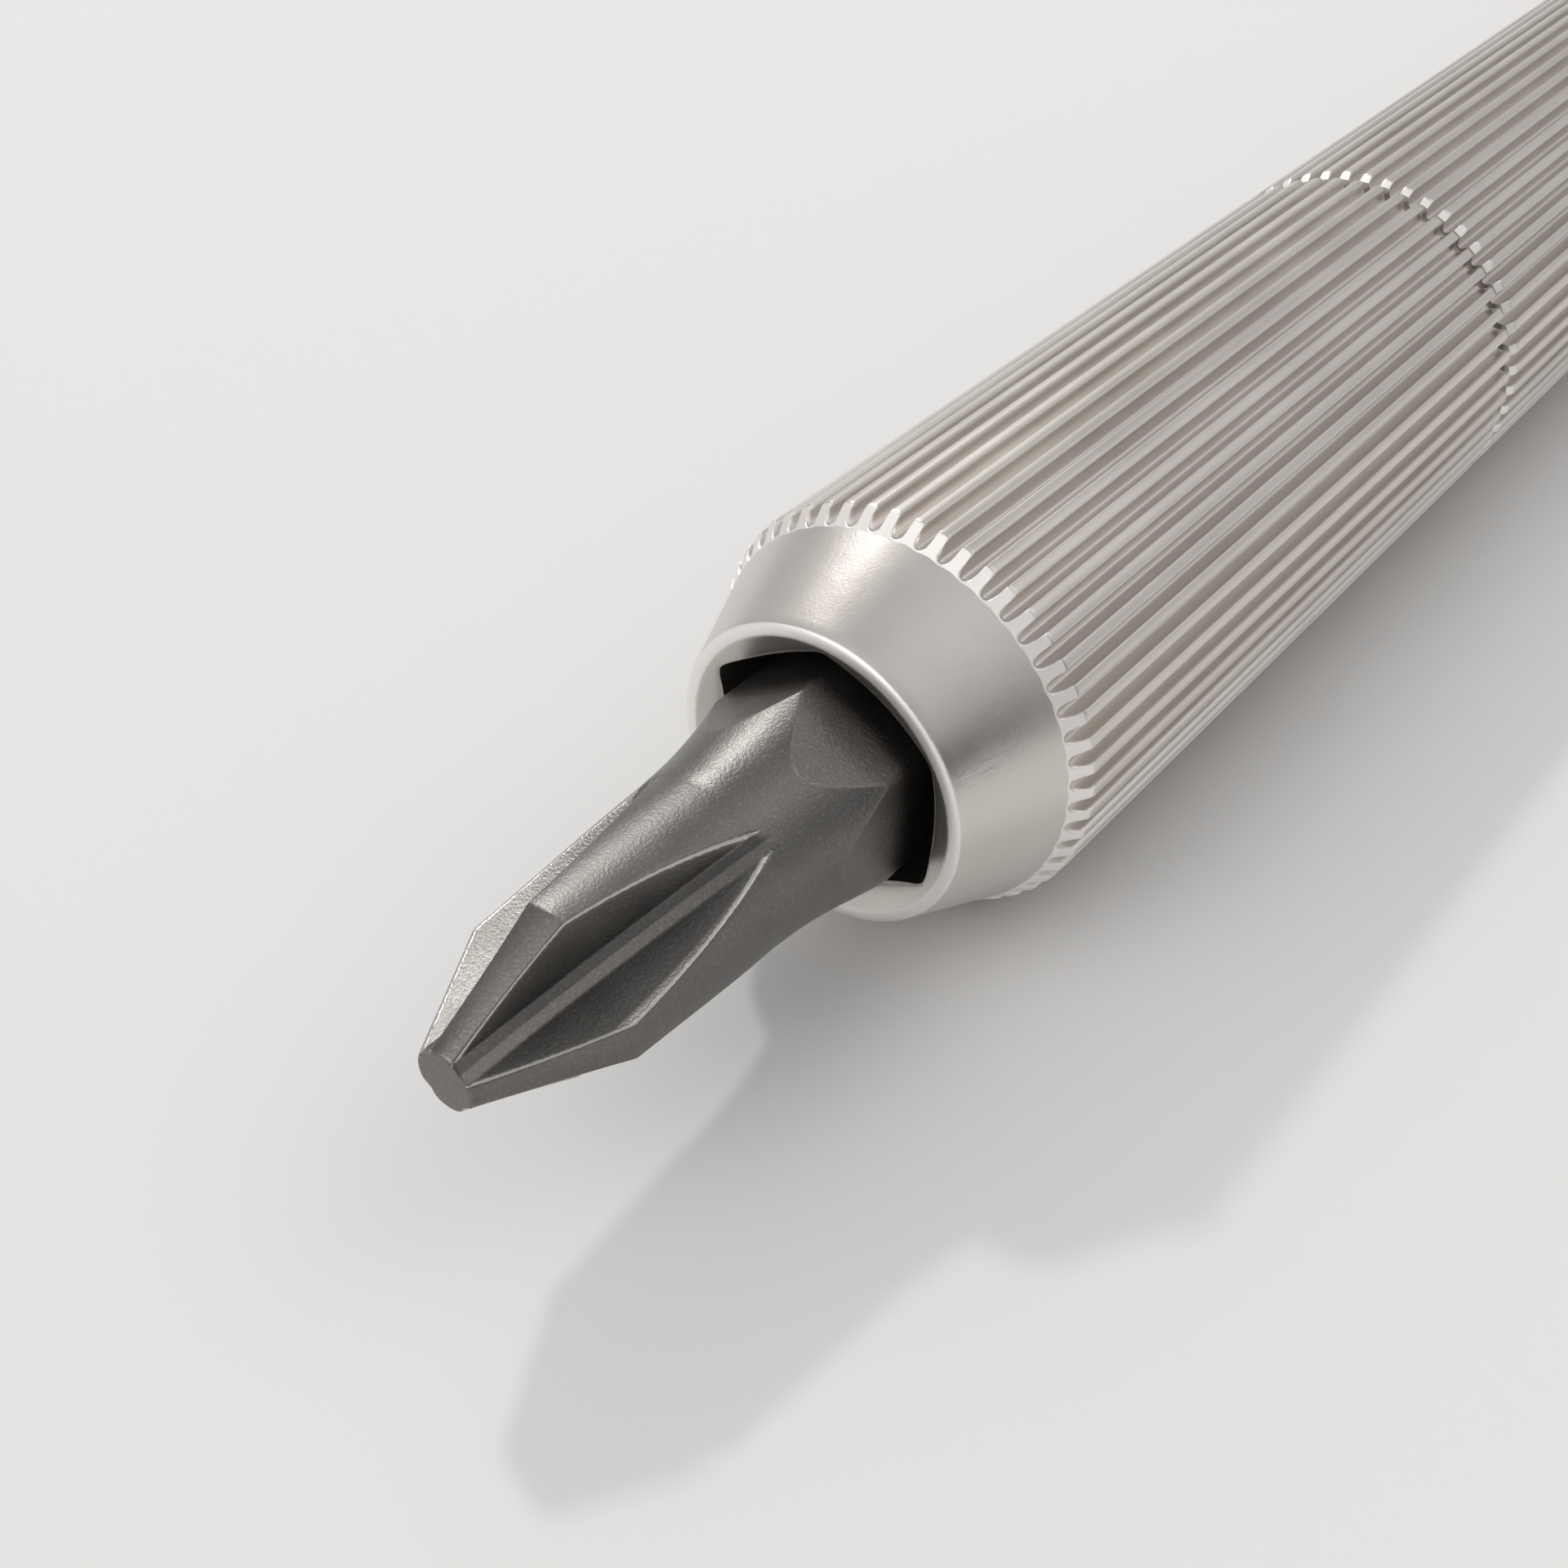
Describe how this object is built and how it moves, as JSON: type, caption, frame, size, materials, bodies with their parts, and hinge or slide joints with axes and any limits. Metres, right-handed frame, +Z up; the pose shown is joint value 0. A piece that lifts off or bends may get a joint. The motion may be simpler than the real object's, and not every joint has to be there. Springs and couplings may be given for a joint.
{
  "type": "precision screwdriver",
  "caption": "Slim fluted aluminium precision screwdriver with a cross-tip hex bit in a screw-off magnetic nose, a spare-bit magazine and a swivel cap.",
  "frame": {"origin": "centre of the tool's footprint on the surface it lies on", "axes": "+X along the tool from the bit's tip to the cap, +Z up, +Y across"},
  "size_m": [0.1132, 0.0088, 0.0088],
  "materials": {
    "aluminium": "bead-blasted, warm light grey",
    "tool_steel": "sand-blasted dark grey tool steel",
    "socket_steel": "turned and blackened",
    "magnet_nickel": "nickel plated",
    "bearing_steel": "polished",
    "shield_steel": "pressed sheet",
    "cage_brass": "turned",
    "black_rubber": "moulded",
    "grey_plastic": "matt",
    "white_nylon": "natural",
    "screw_steel": "turned"
  },
  "bodies": {
    "barrel": {"barrel_sleeve": "aluminium", "magazine_tube": "grey_plastic", "magazine_plug": "black_rubber", "spare_bit_slotted": "tool_steel", "bit_spacer_pad": "black_rubber", "spare_bit_hex": "tool_steel", "magazine_end_pad": "black_rubber", "bearing_stop": "aluminium", "bearing_outer_ring": "bearing_steel", "bearing_shield_front": "shield_steel", "bearing_shield_rear": "shield_steel", "bearing_retainer": "cage_brass", "thrust_washer": "white_nylon"},
    "seal": {"spigot_o_ring": "black_rubber"},
    "nose": {"nose_sleeve": "aluminium", "bit_socket": "socket_steel", "socket_magnet": "magnet_nickel"},
    "bit": {"phillips_bit": "tool_steel"},
    "cap": {"swivel_cap": "aluminium", "cap_disc": "screw_steel", "axle_screw": "screw_steel", "bearing_inner_ring": "bearing_steel"},
    "cage": {"bearing_cage": "cage_brass", "bearing_ball_1": "bearing_steel", "bearing_ball_2": "bearing_steel", "bearing_ball_3": "bearing_steel", "bearing_ball_4": "bearing_steel", "bearing_ball_5": "bearing_steel", "bearing_ball_6": "bearing_steel", "bearing_ball_7": "bearing_steel"}
  },
  "joints": [
    {"name": "nose_advance", "type": "slide", "parent": "barrel", "child": "seal", "axis": [-1, 0, 0], "range_m": [0, 0.0045]},
    {"name": "nose_turn", "type": "hinge", "parent": "seal", "child": "nose", "pos_m": [-0.02534, 0, 0.0044], "axis": [-1, 0, 0], "range_deg": [0, 2160]},
    {"name": "bit_pull", "type": "slide", "parent": "nose", "child": "bit", "axis": [-1, 0, 0], "range_m": [0, 0.019]},
    {"name": "cap_spin", "type": "hinge", "parent": "barrel", "child": "cap", "pos_m": [0.04856, 0, 0.0044], "axis": [1, 0, 0], "continuous": true},
    {"name": "cage_spin", "type": "hinge", "parent": "barrel", "child": "cage", "pos_m": [0.04531, 0, 0.0044], "axis": [1, 0, 0], "continuous": true}
  ],
  "couplings": [
    {"joint": "nose_turn", "follows": "nose_advance", "rad_per_m": 8377.6},
    {"joint": "cage_spin", "follows": "cap_spin", "ratio": 0.375}
  ]
}
